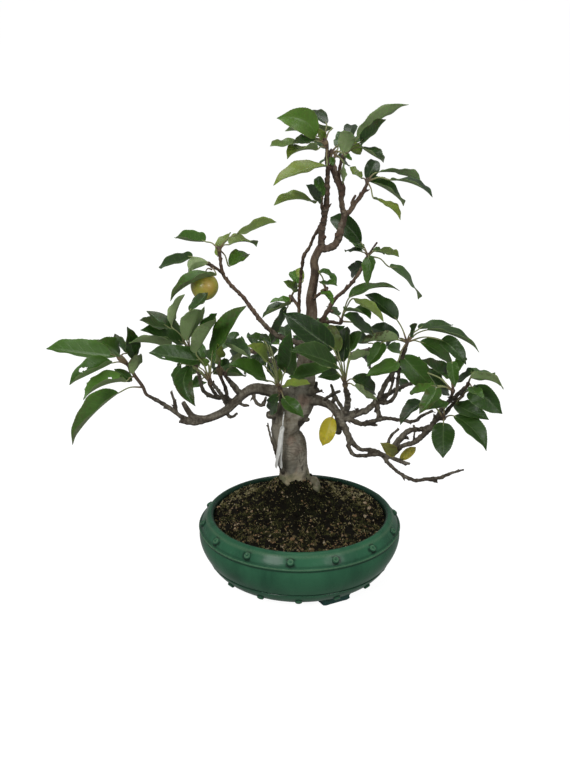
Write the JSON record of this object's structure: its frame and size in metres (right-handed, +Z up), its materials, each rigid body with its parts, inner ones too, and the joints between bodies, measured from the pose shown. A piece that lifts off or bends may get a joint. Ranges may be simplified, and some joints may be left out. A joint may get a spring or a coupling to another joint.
{
  "type": "crabapple bonsai",
  "caption": "Bonsai crabapple with a thick bent trunk, leafy twigs and a small fruit, planted in a mound of soil in a round glazed drum pot.",
  "frame": {"origin": "middle of the whole object's footprint box, on the floor that the pot's feet stand on", "axes": "+Z up along the trunk, -Y towards the tree's front, +X towards the right bough seen from the front"},
  "size_m": [0.5112, 0.3042, 0.5716],
  "materials": {
    "glaze": "glossy deep green glaze, paler on ridges and studs",
    "soil": "moist grit and granules with moss",
    "bark": "smooth twisted grey-brown bark",
    "leaf": "satin leaf, paler and matt underneath",
    "yellow_leaf": "satin autumn-yellow leaf",
    "withered_leaf": "dry olive leaf",
    "fruit": "waxy yellow-green skin with an orange blush",
    "label": "translucent white strip, bare"
  },
  "bodies": {
    "root": {"pot": "glaze", "soil": "soil", "trunk_and_branches": "bark", "crabapple": "fruit", "plant_label": "label", "yellow_leaf": "yellow_leaf", "withered_leaf_left": "withered_leaf", "withered_leaf_right": "withered_leaf", "spray_back_centre": "leaf", "spray_back_left": "leaf", "spray_back_left_bough": "leaf", "spray_back_right": "leaf", "spray_crown_back": "leaf", "spray_crown_left": "leaf", "spray_crown_low_left": "leaf", "spray_crown_middle": "leaf", "spray_crown_right": "leaf", "spray_front_left": "leaf", "spray_front_right": "leaf", "spray_fruit_side": "leaf", "spray_fruit_tip": "leaf", "spray_leader_fore": "leaf", "spray_leader_left": "leaf", "spray_left_arm": "leaf", "spray_left_back": "leaf", "spray_left_fore": "leaf", "spray_left_mid": "leaf", "spray_left_tip": "leaf", "spray_left_upper": "leaf", "spray_right_drop": "leaf", "spray_right_end": "leaf", "spray_right_far_back": "leaf", "spray_right_inner_high": "leaf", "spray_right_low": "leaf", "spray_right_outer": "leaf", "spray_right_upper": "leaf", "spray_upper_right": "leaf", "spray_upper_shoot": "leaf"}
  },
  "joints": []
}
